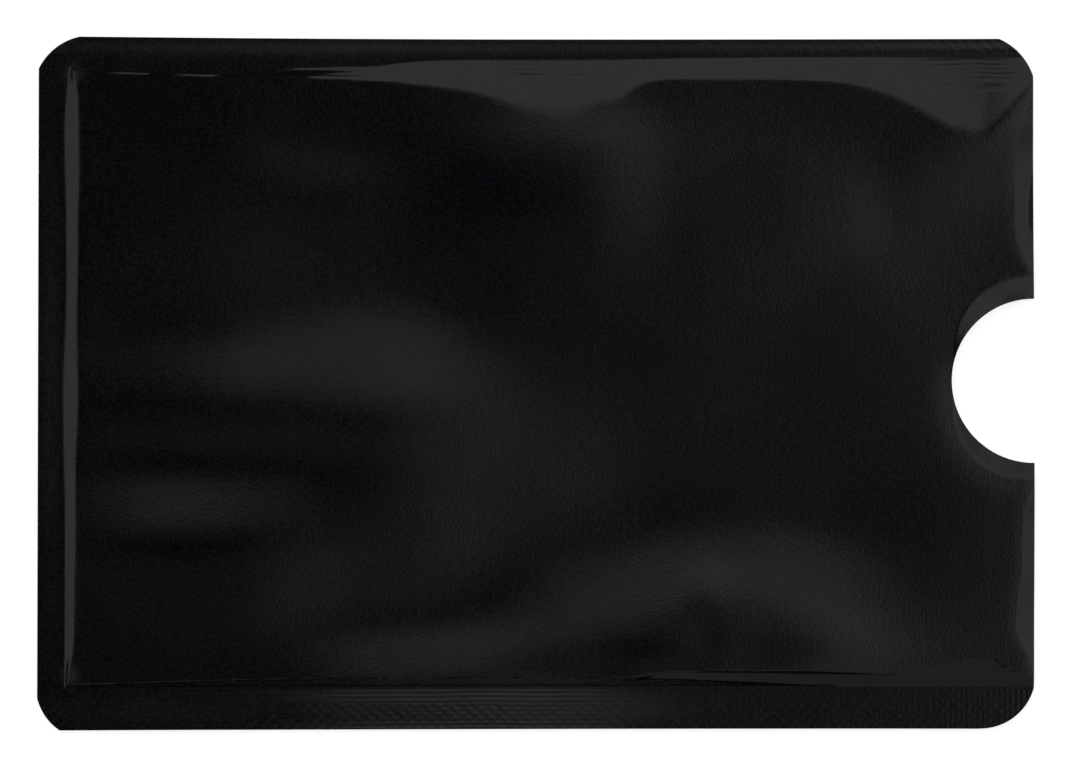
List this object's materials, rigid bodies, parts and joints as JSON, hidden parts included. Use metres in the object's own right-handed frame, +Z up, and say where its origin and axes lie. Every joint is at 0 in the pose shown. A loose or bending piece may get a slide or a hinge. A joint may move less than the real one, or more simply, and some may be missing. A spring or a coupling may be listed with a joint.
{
  "type": "rfid card sleeve",
  "caption": "Flat foil-laminate sleeve that shields a contactless card, welded on three sides, with an open mouth and a half-round thumb notch.",
  "frame": {"origin": "under the middle of the sleeve's outline, on the flat of the back wall that it lies on", "axes": "+X from the closed end to the mouth, +Y across the sleeve towards its narrower side weld, +Z up through the front wall"},
  "size_m": [0.091, 0.0632, 0.0014],
  "materials": {
    "outer_film": "gloss",
    "foil": "satin",
    "seal_film": "satin",
    "weld": "matte"
  },
  "bodies": {
    "root": {"front_outer_film": "outer_film", "front_foil": "foil", "front_seal_film": "seal_film", "back_outer_film": "outer_film", "back_foil": "foil", "back_seal_film": "seal_film", "closed_end_seal": "weld", "top_side_seal": "weld", "bottom_side_seal": "weld"}
  },
  "joints": []
}
